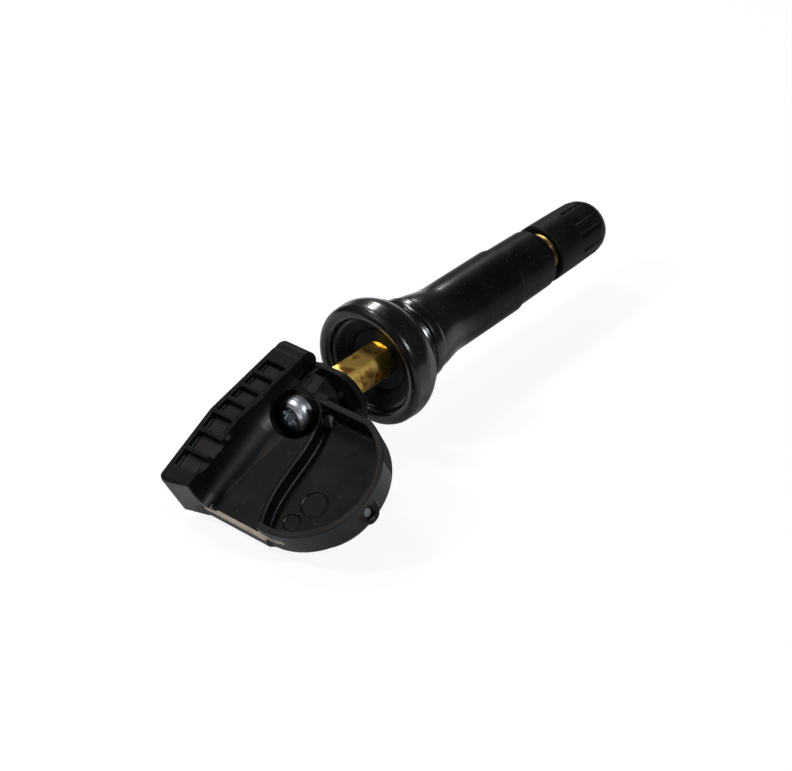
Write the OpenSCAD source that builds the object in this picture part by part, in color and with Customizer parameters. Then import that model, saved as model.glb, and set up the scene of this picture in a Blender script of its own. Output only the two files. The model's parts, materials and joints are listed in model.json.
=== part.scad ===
// Snap-in tyre pressure sensor: a ribbed sensor housing screwed to a rubber valve with a brass stem.
// The origin is on the stem's axis, in the plane where the rubber flange seats against the rim.
// +X runs along the stem toward the cap, and +Z is up as the sensor lies on a table.

/* [Rubber valve] */
// Radius of the flange that seals against the inside of the rim
flange_r = 10.1; // [9.6:0.1:10.8]
// Length of the flange from its cupped face to the rim seat
flange_len = 6.8; // [6:0.1:8]
// Depth of the cup in the flange's face
cup_depth = 3.2; // [2:0.1:4]
// Radius of the neck that fills the rim hole
neck_r = 6.2; // [5.9:0.1:6.6]
// Width of the groove that holds the rim
groove_w = 2.4; // [1.8:0.1:3]
// Radius of the ridge that snaps through the rim hole
ridge_r = 6.9; // [6.8:0.1:7.4]
// Radius of the rubber body just past the cone
barrel_r = 5.6; // [5.4:0.1:6]
// Radius of the rubber body at its end
barrel_end_r = 5.15; // [4.9:0.05:5.3]
// Distance from the rim seat to the end of the cone
cone_end = 11; // [9:0.5:14]
// Distance from the rim seat to the step in the rubber
step_at = 26.4; // [22:0.2:30]
// Distance from the rim seat to the end of the rubber
rubber_end = 35.6; // [34.5:0.2:37]

/* [Brass stem] */
// Radius of the post between the flange and the housing
post_r = 2.9; // [2.7:0.05:3.2]
// Distance from the post's axis to its flat
post_flat = 2.4; // [2.2:0.05:2.6]
// Radius of the tube inside the rubber
tube_r = 3.2; // [3.1:0.05:3.5]
// Radius of the anchoring collar inside the flange
collar_r = 4.3; // [4:0.1:4.6]
// Outer radius of the valve thread
thread_r = 3.85; // [3.8:0.01:3.9]
// Distance from the rim seat to the stem's mouth
mouth_at = 42.4; // [41:0.2:44]
// Radius of the chamber for the valve core
core_bore_r = 2.6; // [2.5:0.05:2.7]
// Radius of the air passage
air_r = 1.2; // [1:0.05:1.4]
// Radius of the cross hole that lets air into the wheel
cross_hole_r = 0.8; // [0.6:0.05:1]

/* [Valve core] */
// Radius of the core's pin
pin_r = 0.55; // [0.5:0.05:0.6]
// Length of the core's threaded plug
plug_len = 5.4; // [5:0.1:6]
// Depth of the core's seat below the stem's mouth
core_depth = 8; // [7.6:0.1:9]
// Length of the core's nose beyond its gasket
nose_len = 2.4; // [2:0.1:3]
// Length of the foot that carries the washer on the core's pin
foot_len = 1.4; // [1:0.1:1.8]
// Wire radius of the core's spring
spring_wire_r = 0.15; // [0.12:0.01:0.18]
// Turns of the core's spring
spring_turns = 5; // [4:1:6]

/* [Cap] */
// Outer radius of the cap at its open end
cap_r = 5; // [4.7:0.05:5.2]
// Length of the cap
cap_len = 14.8; // [14:0.2:18]
// Number of grip flutes round the cap
flute_count = 12; // [8:1:16]
// Depth of each flute
flute_depth = 0.35; // [0.2:0.05:0.45]
// Distance from the rubber's end to the cap's open end
cap_gap = 1.8; // [1.4:0.1:2.2]

/* [Retaining screw] */
// Radius of the screw's head
head_r = 2.75; // [2.5:0.05:3]
// Height of the screw's head
head_h = 2.3; // [2:0.1:2.6]
// Radius of the screw's thread
screw_r = 1.5; // [1.4:0.05:1.6]
// Length of the screw below its head
screw_len = 10; // [9:0.5:11]
// Depth of the six-lobe recess
recess_d = 1.2; // [1:0.1:1.4]

/* [Housing] */
// Slope of the housing's top against the stem
deck_angle = 28; // [26:0.5:30]
// Distance from the rim seat to the housing's outer end, along the stem
near_x = 39.3; // [38.5:0.1:40.5]
// Drop from the stem's axis to the housing's outer bottom edge
near_drop = 9.8; // [9.4:0.1:10.2]
// Distance from the outer end to the centre of the round side
disc_u = 11.6; // [11.2:0.1:12]
// Thickness of the housing's walls
wall = 1; // [0.8:0.05:1.2]
// Height of the rim round the battery side
rim_h = 4.5; // [4.2:0.1:5]
// Height of the flat deck beside the strip
deck_h = 2.7; // [2.4:0.1:3]
// Height of the sunken floor of the battery side
floor_h = 0.5; // [0.4:0.05:0.8]
// Depth of the tapered underside
belly_d = 4.1; // [3.8:0.1:4.4]
// How far the underside tapers in
belly_taper = 2.2; // [1.8:0.1:2.6]
// Distance from the outer end to the wall that closes the battery side
fin_at = 21.1; // [20.6:0.1:21.6]
// Depth of the mould marks in the sunken floor
mark_d = 0.3; // [0.2:0.05:0.4]
// Upward lean of the pressure port
port_lean = 25; // [15:1:30]
// Radius of the boss round the port
port_r = 1.75; // [1.6:0.05:1.9]

/* [Ribbed strip] */
// Distance from the stem's plane to the strip's outer side
strip_out = 7.5; // [7:0.1:7.8]
// Distance from the stem's plane to the strip's inner side
strip_in = 2.2; // [1.9:0.1:2.6]
// Height of the strip
strip_h = 8.3; // [7.8:0.1:8.8]
// Slope of the strip past its bend
strip_far_angle = 15; // [13:0.5:17]
// Pockets before the bend
near_pockets = 3; // [2:1:3]
// Pockets past the bend
far_pockets = 4; // [3:1:4]
// Spacing of the pockets before the bend
near_pitch = 3.4; // [3:0.05:3.6]
// Spacing of the pockets past the bend
far_pitch = 3; // [2.6:0.05:3.2]
// Depth of the pockets
pocket_d = 1.1; // [0.8:0.05:1.4]
// Thickness of the ribs between the pockets
rib = 0.75; // [0.6:0.05:0.9]

/* [Stem end] */
// Distance from the rim seat to the outer face of the end plate
plate_at = 15.8; // [15.4:0.1:16.4]
// Thickness of the end plate
plate_t = 1.2; // [1:0.1:1.5]
// Height of the end plate above the stem's axis
plate_h = 5.3; // [5:0.1:5.8]
// Width of the end plate on the battery side
plate_w = 8; // [7.6:0.1:8.6]
// Radius of the screw boss at the screw's head
boss_r = 3.7; // [3.5:0.1:4]
// Length of the screw boss from the plate's outer face
boss_len = 5.9; // [5.6:0.1:6.2]
// Radius of the driver's channel in front of the screw
channel_r = 3.3; // [3.1:0.05:3.5]

/* [Electronics] */
// Radius of the coin cell, which the round side is built about
cell_r = 8; // [7.8:0.05:8.2]
// Distance from the stem's plane to the near edge of the coin cell
cell_side = 1.8; // [1.6:0.1:2]
// Thickness of the coin cell
cell_t = 1.6; // [1.4:0.1:1.6]
// Thickness of the circuit board
board_t = 0.8; // [0.6:0.1:1]
// Side of the square pressure sensor chip
chip_side = 3.4; // [3:0.1:3.6]
// Length of the low-frequency coil
coil_len = 4.4; // [4:0.1:4.6]

/* [Hidden] */

$fn = 96;
eps = 0.01;
fit = 0.05;
big = 60;
screw_seat = -plate_at - boss_len;

// The round side is the coin cell, a gap and the tapered wall round it
cell_gap = 0.14;
cavity_in = wall + 0.45;
disc_taper = 0.62;
disc_r = cell_r + cell_gap + cavity_in + (floor_h + belly_d - 2 * wall) * disc_taper;
disc_offset = cell_r + cell_side;

module along_x(x) translate([x, 0, 0]) rotate([0, 90, 0]) children();
module deck() translate([-near_x, 0, -near_drop]) rotate([0, -deck_angle, 0]) children();
module side(y0, y1) translate([0, y1, 0]) rotate([90, 0, 0]) linear_extrude(y1 - y0) children();

// Rubber valve

cup_floor_r = 4.2;
lip_r = 1.15;
seat_r = flange_r - 1.5;
shoulder_r = 5;
shoulder_x = 2.6 - flange_len;
seat_fillet = 0.4;
ridge_w = 1.9;
ridge_round = 0.7;
step_h = 0.3;

// Points along an arc about a centre, from one angle to another
function arc(x, y, r, from, to, steps) =
    [for (i = [0:steps]) let (a = from + (to - from) * i / steps) [x + r * cos(a), y + r * sin(a)]];

// Points along an S from one place to another, flat at both ends
function ease(from, to, steps) =
    [for (i = [0:steps]) let (t = i / steps)
        [from[0] + (to[0] - from[0]) * (3 * t * t - 2 * t * t * t), from[1] + (to[1] - from[1]) * t]];

module valve_body() {
    lip_x = lip_r - flange_len;
    lip_at = flange_r - 0.1 - lip_r;
    color([0.06, 0.06, 0.065])
    along_x(0)
    rotate_extrude()
    polygon(concat(
        [[post_r + fit, cup_depth - flange_len], [cup_floor_r, cup_depth - flange_len]],
        ease([cup_floor_r + 0.8, cup_depth - flange_len - 0.2], [lip_at - lip_r, lip_x], 6),
        arc(lip_at, lip_x, lip_r, 180, 360, 12),
        arc(flange_r - shoulder_r, shoulder_x, shoulder_r, 4, 47, 8),
        [[seat_r, -0.3], [seat_r - 0.3, 0]],
        arc(neck_r + seat_fillet, seat_fillet, seat_fillet, 270, 180, 4),
        [[neck_r, groove_w - ridge_round]],
        arc(ridge_r - ridge_round, groove_w + 0.5, ridge_round, 290, 360, 4),
        arc(ridge_r - 0.5, groove_w + ridge_w - 0.5, 0.5, 0, 50, 3),
        ease([ridge_r - 0.45, groove_w + ridge_w + 0.4], [barrel_r, cone_end], 10),
        [
            [barrel_end_r + step_h + 0.12, step_at - step_h],
            [barrel_end_r + step_h, step_at],
            [barrel_end_r + 0.12, step_at + step_h]
        ],
        arc(barrel_end_r - 0.5, rubber_end - 0.5, 0.5, 0, 90, 4),
        [
            [tube_r + fit, rubber_end],
            [tube_r + fit, collar_end + fit],
            [collar_r + fit, collar_end + fit],
            [collar_r + fit, collar_start - fit],
            [post_r + fit, collar_start - fit]
        ]
    ));
}

// Brass stem

collar_start = -1.4;
collar_end = 1.6;
post_end = -plate_at - 1.5;
core_seat = mouth_at - core_depth;
chamber_end = core_seat - 20;
chamber_wall_r = core_bore_r - 0.5;
thread_root_r = thread_r - 0.35;
cross_hole_at = -7.4;
screw_hole_end = screw_seat + screw_len + 0.3;

module stem_outer() {
    along_x(0)
    rotate_extrude()
    polygon([
        [0, post_end], [post_r - 0.3, post_end], [post_r, post_end + 0.3],
        [post_r, collar_start], [collar_r, collar_start], [collar_r, collar_end],
        [tube_r, collar_end], [tube_r, rubber_end + fit], [thread_root_r, rubber_end + fit],
        [thread_root_r, rubber_end + 0.3], [thread_r, rubber_end + 0.6],
        [thread_r, mouth_at - 0.6], [thread_r - 0.5, mouth_at], [0, mouth_at]
    ]);
}

module valve_stem() {
    color([0.72, 0.55, 0.22])
    difference() {
        stem_outer();
        along_x(core_seat) cylinder(h = big, r = core_bore_r);
        along_x(core_seat - 0.7) cylinder(h = 0.7 + eps, r1 = chamber_wall_r, r2 = core_bore_r);
        along_x(chamber_end) cylinder(h = core_seat - chamber_end, r = chamber_wall_r);
        along_x(cross_hole_at) cylinder(h = chamber_end - cross_hole_at + eps, r = air_r);
        translate([cross_hole_at, 0, 0]) rotate([90, 0, 0])
            cylinder(h = 2 * big, r = cross_hole_r, center = true);
        along_x(post_end - 1) cylinder(h = screw_hole_end - post_end + 1, r = screw_r + fit);
        translate([post_end - 1, -big / 2, post_flat])
            cube([collar_start - 1 - post_end, big, big]);
    }
}

// Valve core

plug_end = mouth_at - 1.1;
plug_start = plug_end - plug_len;
gasket_len = plug_start - core_seat - 2 * fit;
barrel_start = plug_start - gasket_len - nose_len;
nose_r = core_bore_r - 1;
bridge_t = 0.7;
spring_start = plug_start + 0.8;
spring_end = plug_end - bridge_t;
collar_t = 0.7;
collar_at = spring_end - collar_t - fit;
spring_r = pin_r + spring_wire_r + 0.35;
spring_room_r = spring_r + 0.45;
washer_t = 1.1;
slot_w = 1;
slot_d = 1.4;

module core_barrel() {
    color([0.74, 0.6, 0.3])
    difference() {
        union() {
            along_x(plug_start) cylinder(h = plug_len, r = core_bore_r - fit);
            along_x(barrel_start) cylinder(h = plug_start - barrel_start + eps, r = nose_r);
        }
        along_x(barrel_start - 1) cylinder(h = big, r = pin_r + 0.3);
        along_x(spring_start) cylinder(h = spring_end - spring_start, r = spring_room_r);
        for (s = [-1, 1])
            translate([plug_end - slot_d, s * (core_bore_r - slot_w / 2) - slot_w / 2, -big / 2])
            cube([slot_d + 1, slot_w, big]);
    }
}

module core_gasket() {
    color([0.8, 0.2, 0.15])
    difference() {
        along_x(core_seat + fit) cylinder(h = gasket_len, r = core_bore_r - fit);
        along_x(core_seat) cylinder(h = core_depth, r = nose_r + fit);
    }
}

module core_pin() {
    foot_end = barrel_start - washer_t - fit;
    foot_r = pin_r + 0.7;
    collar_out = spring_r + 0.25;
    color([0.8, 0.65, 0.35])
    along_x(0)
    rotate_extrude()
    polygon([
        [0, foot_end - foot_len], [foot_r - 0.2, foot_end - foot_len],
        [foot_r, foot_end - foot_len + 0.3], [foot_r, foot_end],
        [pin_r, foot_end], [pin_r, collar_at],
        [collar_out, collar_at], [collar_out, collar_at + collar_t],
        [pin_r, collar_at + collar_t], [pin_r, mouth_at - 0.5],
        [pin_r - 0.15, mouth_at - 0.3], [0, mouth_at - 0.3]
    ]);
}

module core_washer() {
    color([0.1, 0.1, 0.1])
    difference() {
        along_x(barrel_start - washer_t) cylinder(h = washer_t - fit, r = nose_r + 0.1);
        along_x(barrel_start - 2 * washer_t) cylinder(h = 3 * washer_t, r = pin_r + fit);
    }
}

// Points of one wire ring of the spring, at a turn given in degrees
function wire_ring(a, x0, pitch) = [
    for (k = [0:5]) let (t = k * 60, r = spring_r + spring_wire_r * cos(t))
        [x0 + pitch * a / 360 + spring_wire_r * sin(t), r * cos(a), r * sin(a)]
];

module core_spring() {
    spring_len = collar_at - spring_start - 2 * fit - 2 * spring_wire_r;
    steps = spring_turns * 16;
    pitch = spring_len / spring_turns;
    rings = [for (i = [0:steps]) wire_ring(i * 360 / 16, spring_start + fit + spring_wire_r, pitch)];
    points = [for (ring = rings) each ring];
    walls = [for (i = [0:steps - 1]) for (k = [0:5])
        [i * 6 + k, i * 6 + (k + 1) % 6, (i + 1) * 6 + (k + 1) % 6, (i + 1) * 6 + k]];
    ends = [[for (k = [5:-1:0]) k], [for (k = [0:5]) steps * 6 + k]];
    color([0.7, 0.7, 0.72]) polyhedron(points, concat(walls, ends));
}

// Cap

cap_start = rubber_end + cap_gap;
cap_end = cap_start + cap_len;
cap_bore_r = thread_r + 0.15;
crown_t = 2.2;
seal_t = 0.9;
seal_at = mouth_at + 0.1;
skirt_len = 6.2;
flute_r = 0.75;

module valve_cap() {
    color([0.07, 0.07, 0.075])
    difference() {
        along_x(0)
        rotate_extrude()
        polygon([
            [0, cap_start], [cap_r - 0.25, cap_start], [cap_r, cap_start + 0.3],
            [cap_r - 0.05, cap_start + skirt_len - 0.8], [cap_r - 0.2, cap_end - 3.4],
            [cap_r - 0.45, cap_end - 2.1], [cap_r - 0.95, cap_end - 1.1],
            [cap_r - 1.75, cap_end - 0.4], [cap_r - 2.7, cap_end - 0.1], [0, cap_end]
        ]);
        along_x(cap_start - 1) cylinder(h = seal_at + seal_t + fit - cap_start + 1, r = cap_bore_r);
        along_x(cap_start) cylinder(h = cap_len - crown_t, r = thread_r - 1.4);
        for (i = [0:flute_count - 1])
            rotate([i * 360 / flute_count, 0, 0])
            translate([0, 0, cap_r + flute_r - flute_depth])
            along_x(cap_start + skirt_len) cylinder(h = cap_len, r = flute_r, $fn = 24);
    }
}

module cap_seal() {
    color([0.15, 0.15, 0.15]) along_x(seal_at) cylinder(h = seal_t, r = cap_bore_r - 0.25);
}

// Retaining screw

lobe_r = 0.38;
lobe_at = 1;

module retaining_screw() {
    color([0.75, 0.77, 0.8])
    difference() {
        union() {
            along_x(0)
            rotate_extrude()
            polygon([
                [0, screw_seat - head_h], [head_r - 0.95, screw_seat - head_h],
                [head_r - 0.4, screw_seat - head_h + 0.3], [head_r - 0.1, screw_seat - head_h + 0.8],
                [head_r, screw_seat - 0.9], [head_r, screw_seat - fit], [0, screw_seat - fit]
            ]);
            along_x(screw_seat - head_h / 2) cylinder(h = head_h / 2 + screw_len, r = screw_r - fit);
        }
        // Six-lobe recess
        along_x(screw_seat - head_h - 1) {
            cylinder(h = recess_d + 1, r = lobe_at + 0.05);
            for (i = [0:5]) rotate([0, 0, i * 60]) translate([lobe_at, 0, 0])
                cylinder(h = recess_d + 1, r = lobe_r, $fn = 24);
        }
    }
}

// Housing: shapes in the deck's own frame, where x runs up the slope and z stands off the base plane

seam = 0.85;
cover_t = wall - 0.1;
deck_end = 23.4;
edge_chamfer = 0.7;
groove_bow = 1.9;
groove_mid = 6.6;
bead_w = 0.5;
bead_h = 0.3;
gusset = [1.5, 1.6, 1.4];
// Mould marks: how far each lies from the round side's centre, both ways, and its radius
mould_marks = [[3.2, 1.95, 2.1], [7, 0.6, 1.4]];

// Side edge of the flat deck, which bows as it runs from the outer end to the screw
function groove_y(u) = -groove_mid + groove_bow * pow((u - 11.2) / 10, 3);

// Outline of the body seen square to the deck, drawn in by a margin
module plan(m) {
    translate([m, -disc_offset]) square([deck_end - m, disc_offset + strip_out - m]);
    translate([disc_u, -disc_offset]) circle(r = disc_r - m);
}

// Points of the deck's side edge, from the outer end to the closing wall
deck_edge = [for (i = [0:14]) let (u = fin_at * i / 14) [u, groove_y(u)]];

// Outline of the sunken floor on the battery side
module sunken_plan() {
    intersection() {
        translate([disc_u, -disc_offset]) circle(r = disc_r - wall);
        polygon(concat(deck_edge, [[fin_at, -big], [0, -big]]));
    }
}

// Raised bead along the deck's side edge
module deck_bead() {
    translate([0, 0, deck_h - eps]) linear_extrude(bead_h) intersection() {
        polygon(concat(deck_edge, [for (i = [14:-1:0]) deck_edge[i] + [0, bead_w]]));
        translate([edge_chamfer + 0.3, -big]) square([big, big]);
    }
}

// Gusset in the corner between the closing wall and the deck's side
module corner_gusset() {
    translate([fin_at + eps, groove_y(fin_at) + eps, floor_h - eps])
        rotate([90, 0, 0]) linear_extrude(gusset[1])
        polygon([[0, 0], [-gusset[0], 0], [0, gusset[2]]]);
}

// The tapered underside from one height down to a depth, drawn in by a margin at its top
taper = belly_taper / belly_d;

module belly(m, top, deep) {
    low = m + (top + deep) * taper;
    intersection() {
        side(-disc_offset, strip_out) polygon([
            [m, top], [low, -deep], [deck_end - low - 1, -deep], [deck_end - m, top]
        ]);
        rotate([90, 0, 90]) linear_extrude(big) polygon([
            [-disc_offset, top], [-disc_offset, -deep], [strip_out - low, -deep], [strip_out - m, top]
        ]);
    }
    translate([disc_u, -disc_offset, -deep])
        cylinder(h = top + deep, r1 = disc_r - m - (top + deep) * disc_taper, r2 = disc_r - m);
}

// Side profile of the ribbed strip, in the frame of the deck
end_land = 1.75;
near_len = near_pockets * near_pitch + end_land;
far_len = far_pockets * far_pitch;
far_drop = deck_angle - strip_far_angle;
function strip_top(s) = s <= near_len
    ? [s, strip_h]
    : [near_len + (s - near_len) * cos(far_drop), strip_h - (s - near_len) * sin(far_drop)];
ear_r = 2.2;
ear_at = strip_top(near_len + far_len + 2.4);
toe_drop = 0.4;
toe_r = 1;
toe_out = 0.9;

module strip_profile() {
    polygon([
        [-toe_out, -toe_drop], [-toe_out, strip_h - 0.8],
        [0.25 - toe_out, strip_h - 0.25], [0.8 - toe_out, strip_h],
        strip_top(near_len), strip_top(near_len + far_len + 2),
        [ear_at[0] + ear_r, ear_at[1] - ear_r], [ear_at[0] + ear_r - 3.4, 0], [6, 0], [4.5, -toe_drop]
    ]);
    translate([ear_at[0], ear_at[1] - ear_r - 0.1]) circle(r = ear_r, $fn = 48);
}

module strip() {
    difference() {
        intersection() {
            side(strip_in, strip_out) strip_profile();
            translate([0, 0, -big / 2]) linear_extrude(big) {
                translate([toe_r - toe_out, strip_in]) square([big, strip_out - strip_in]);
                polygon([
                    [0, strip_in], [-toe_out, strip_out - toe_r],
                    [toe_r, strip_out - toe_r], [toe_r, strip_in]
                ]);
                translate([toe_r - toe_out, strip_out - toe_r]) circle(r = toe_r, $fn = 48);
            }
        }
        for (i = [0:near_pockets + far_pockets - 1]) {
            near = i < near_pockets;
            s0 = near ? end_land + i * near_pitch : near_len + (i - near_pockets) * far_pitch;
            at = strip_top(s0);
            translate([at[0], 0, at[1]])
                rotate([0, near ? 0 : far_drop, 0])
                translate([rib / 2, strip_in + rib, -pocket_d])
                cube([(near ? near_pitch : far_pitch) - rib, strip_out - strip_in - 2 * rib, 2 * pocket_d]);
        }
    }
}

// The hollow cove where the strip's inner wall runs down into the deck
cove_r = 2.7;
module cove() {
    translate([0, strip_in - cove_r, deck_h - eps])
        difference() {
            cube([deck_end, cove_r + eps, cove_r]);
            translate([-1, 0, cove_r]) rotate([0, 90, 0]) cylinder(h = big, r = cove_r);
        }
}

module rim() {
    translate([0, 0, floor_h - eps]) linear_extrude(rim_h - floor_h + eps) {
        difference() {
            intersection() {
                translate([disc_u, -disc_offset]) circle(r = disc_r);
                translate([0, -disc_offset - disc_r]) square([fin_at + wall, disc_r + 1.3]);
            }
            translate([disc_u, -disc_offset]) circle(r = disc_r - wall);
        }
        intersection() {
            translate([disc_u, -disc_offset]) circle(r = disc_r);
            translate([fin_at, -disc_offset - disc_r]) square([wall, disc_r + 5.4]);
        }
    }
}

module deck_body() {
    difference() {
        linear_extrude(deck_h) plan(0);
        translate([0, 0, floor_h]) linear_extrude(big) sunken_plan();
        translate([0, 0, deck_h]) rotate([0, 45, 0]) cube([edge_chamfer, big, edge_chamfer], center = true);
        // Well between the closing wall and the end plate
        translate([fin_at + wall, -big, floor_h]) cube([big, big - boss_r - 0.6, big]);
    }
    belly(0.02, 0.2, belly_d);
    cove();
    deck_bead();
    strip();
    rim();
}

// Stem end: plate, boss and side wall, in the frame of the stem

end_floor = -5.2;
end_floor_t = 1.6;
well_len = 5.4;
corner_r = plate_h - 0.3;
plate_low_h = 4.2;

module plate_outline() {
    translate([-plate_w, end_floor]) square([plate_w + strip_out - 0.6, plate_low_h - end_floor]);
    translate([-plate_w + corner_r, end_floor]) square([plate_w - corner_r, plate_h - end_floor]);
    intersection() {
        circle(r = plate_h);
        translate([-1, 0]) square([big, big]);
    }
}

module plate_corner() {
    difference() {
        translate([-plate_w - 1, plate_h - corner_r]) square([corner_r + 1, big]);
        translate([-plate_w + corner_r, plate_h - corner_r]) circle(r = corner_r);
    }
}

module stem_end() {
    translate([-plate_at - plate_t, 0, 0]) rotate([90, 0, 90]) linear_extrude(plate_t) {
        difference() {
            union() {
                plate_outline();
                translate([-plate_w + corner_r, plate_h - corner_r]) circle(r = corner_r);
            }
            plate_corner();
        }
    }
    // Floor and side wall of the well behind the plate
    translate([-plate_at - well_len, -plate_w, end_floor]) cube([well_len, plate_w + strip_out, end_floor_t]);
    translate([-plate_at - well_len + 1, -plate_w, end_floor]) cube([well_len - 1, wall, -end_floor + 1]);
    // Boss with its conical shoulder
    along_x(screw_seat) cylinder(h = boss_len - eps, r = boss_r);
    along_x(screw_seat + 0.8) cylinder(h = 2.7, r1 = boss_r, r2 = plate_h - 0.3);
    // Ribs from the shoulder to the plate
    for (a = [-8, 62]) rotate([a, 0, 0])
        translate([screw_seat + 2.4, -rib / 2, 0]) cube([boss_len - 2.5, rib, plate_h - 0.4]);
}

port_u = disc_u - 1.1;
port_hole_r = 0.7;
port_mouth_r = 1.3;
port_deep = 1.1;
port_root = 3;
port_len = (port_root + 0.2) / cos(port_lean);

// The port's axis starts inside the rim and leans up as it runs out
module port_axis() {
    deck()
        translate([port_u, port_root - disc_offset - disc_r, rim_h / 2 - port_len * sin(port_lean)])
        rotate([90 - port_lean, 0, 0])
        children();
}

module cavity() {
    difference() {
        deck() {
            belly(cavity_in, floor_h - wall, belly_d - wall);
            // Space over the board, under the deck and inside the strip
            translate([wall, board_in - 0.7, -wall])
                cube([fin_at - wall - 3, strip_out - wall - board_in + 0.7, deck_h]);
            translate([cavity_in, strip_in + wall, 0])
                cube([near_len - cavity_in, strip_out - strip_in - 2 * wall, strip_h - pocket_d - wall]);
        }
        // Wall round the driver's channel and the boss
        along_x(-big) cylinder(h = big, r = channel_r + wall);
    }
    // Seat for the cover
    deck() translate([0, 0, -belly_d - 1]) linear_extrude(wall + 1 + eps) cover_plan(0);
}

// Outline of the cover and of its seat, drawn in by a margin
module cover_plan(m) {
    cover_in = belly_taper + seam;
    cover_end = deck_end - 4;
    translate([cover_in + m, -disc_offset])
        square([cover_end - cover_in - 2 * m, disc_offset + strip_out - cover_in - m]);
    translate([disc_u, -disc_offset]) circle(r = disc_r - cover_in - m);
}

module housing() {
    color([0.1, 0.1, 0.1])
    difference() {
        union() {
            deck() deck_body();
            deck() corner_gusset();
            stem_end();
            port_axis() cylinder(h = port_len, r = port_r);
        }
        // Sunken floor, clear of the port's boss
        deck() difference() {
            translate([0, 0, floor_h]) linear_extrude(rim_h) sunken_plan();
            corner_gusset();
        }
        cavity();
        // Screw hole, socket for the post, and the driver's way to the screw
        along_x(screw_seat - 1) cylinder(h = boss_len + 2, r = screw_r + 0.1);
        difference() {
            along_x(post_end - fit) cylinder(h = 4, r = post_r + fit);
            translate([-big, -big / 2, post_flat + fit]) cube([big, big, big]);
        }
        along_x(screw_seat - 40) cylinder(h = 40, r = channel_r);
        // Port
        port_axis() translate([0, 0, port_len - port_deep]) cylinder(h = 2, r = port_hole_r);
        port_axis() translate([0, 0, port_len - 0.3]) cylinder(h = 0.5, r1 = port_hole_r, r2 = port_mouth_r);
        // Plain mould marks in the sunken floor
        deck() for (m = mould_marks)
            translate([disc_u - m[0], -disc_offset - m[1], floor_h - mark_d]) cylinder(h = 1, r = m[2]);
    }
}

module base_cover() {
    color([0.12, 0.12, 0.12]) deck()
        translate([0, 0, -belly_d]) linear_extrude(cover_t - fit) cover_plan(fit);
}

// Electronics, all square to the deck

cell_low = cover_t - belly_d + 0.25;
cell_top = cell_low + cell_t;
board_low = cell_low;
board_top = board_low + board_t;
part_low = board_top + fit;
board_in = -disc_offset + cell_r + 0.6;
board_out = strip_out - wall - 1.9;
tab_t = 0.15;
tab_w = 1.2;
tab_in = 3;

// Places on the board, one after another from the outer end
board_u = wall + 2;
row_u = board_u + 0.5;
row_y = board_in + 0.6;
cap_size = [0.8, 1.5, 0.7];
cap_pitch = 1.5;
tab_u = row_u + 2 * cap_pitch + cap_size[0] + 0.3;
chip_u = tab_u + tab_w + 0.4;
chip_y = row_y - 0.2;
chip_h = 0.9;
crystal_size = [1, 2.4, 0.6];
crystal_u = chip_u + chip_side + 0.3;
board_end = crystal_u + crystal_size[0] + 0.7;

module circuit_board() {
    color([0.05, 0.25, 0.12]) deck()
        translate([board_u, board_in, board_low])
        cube([board_end - board_u, board_out - board_in, board_t]);
}

module battery_cell() {
    can_step = 0.3;
    color([0.75, 0.75, 0.75]) deck()
    translate([disc_u, -disc_offset, cell_low]) {
        cylinder(h = cell_t * 0.55, r = cell_r - 0.6);
        translate([0, 0, can_step]) cylinder(h = cell_t - can_step, r = cell_r);
    }
}

// The upper tab runs off the cell, down past the board's edge and onto the board
module cell_tab_top() {
    color([0.8, 0.8, 0.8]) deck() {
        translate([tab_u, tab_in - disc_offset, cell_top + fit])
            cube([tab_w, board_in - fit + disc_offset - tab_in, tab_t]);
        translate([tab_u, board_in - fit - tab_t, part_low])
            cube([tab_w, tab_t, cell_top + tab_t - board_top]);
        translate([tab_u, board_in - fit - eps, part_low]) cube([tab_w, 1, tab_t]);
    }
}

// The lower tab runs from under the cell to under the board
module cell_tab_bottom() {
    color([0.8, 0.8, 0.8]) deck()
        translate([tab_u - 1.5, tab_in - disc_offset, cell_low - fit - tab_t])
        cube([2 * tab_w, board_in + 1.6 + disc_offset - tab_in, tab_t]);
}

module sensor_chip() {
    color([0.05, 0.05, 0.05]) deck()
    difference() {
        translate([chip_u, chip_y, part_low]) cube([chip_side, chip_side, chip_h]);
        translate([chip_u + chip_side / 2, chip_y + chip_side / 2, part_low + chip_h / 2])
            cylinder(h = chip_h, r = 0.5);
    }
}

module crystal() {
    color([0.8, 0.8, 0.8]) deck() translate([crystal_u, chip_y, part_low]) cube(crystal_size);
}

module chip_capacitors() {
    color([0.6, 0.45, 0.3]) deck()
        for (i = [0:2]) translate([row_u + i * cap_pitch, row_y, part_low]) cube(cap_size);
}

module port_filter() {
    color([0.9, 0.9, 0.9])
        port_axis() translate([0, 0, port_len - port_deep]) cylinder(h = 0.4, r = port_hole_r - fit / 2);
}

coil_r = 1.1;
coil_core_r = 0.65;
coil_end_t = 0.6;
coil_y = row_y + cap_size[1] + 0.1 + coil_r;

module coil_axis() {
    deck() translate([board_u + 0.6, coil_y, part_low + coil_r]) rotate([0, 90, 0]) children();
}

module coil_core() {
    color([0.2, 0.2, 0.22]) coil_axis() {
        cylinder(h = coil_len, r = coil_core_r);
        for (z = [0, coil_len - coil_end_t])
            translate([-coil_r, -coil_r, z]) cube([2 * coil_r, 2 * coil_r, coil_end_t]);
    }
}

module coil_winding() {
    color([0.7, 0.35, 0.15]) coil_axis() difference() {
        translate([0, 0, coil_end_t + fit])
            cylinder(h = coil_len - 2 * (coil_end_t + fit), r = coil_r - 0.1);
        cylinder(h = coil_len, r = coil_core_r + fit);
    }
}

strap_y = board_out - 0.25;
strap_t = 0.2;
strap_w = 1.2;
strap_len = 5.8;
strap_rise = 5.2;

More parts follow.
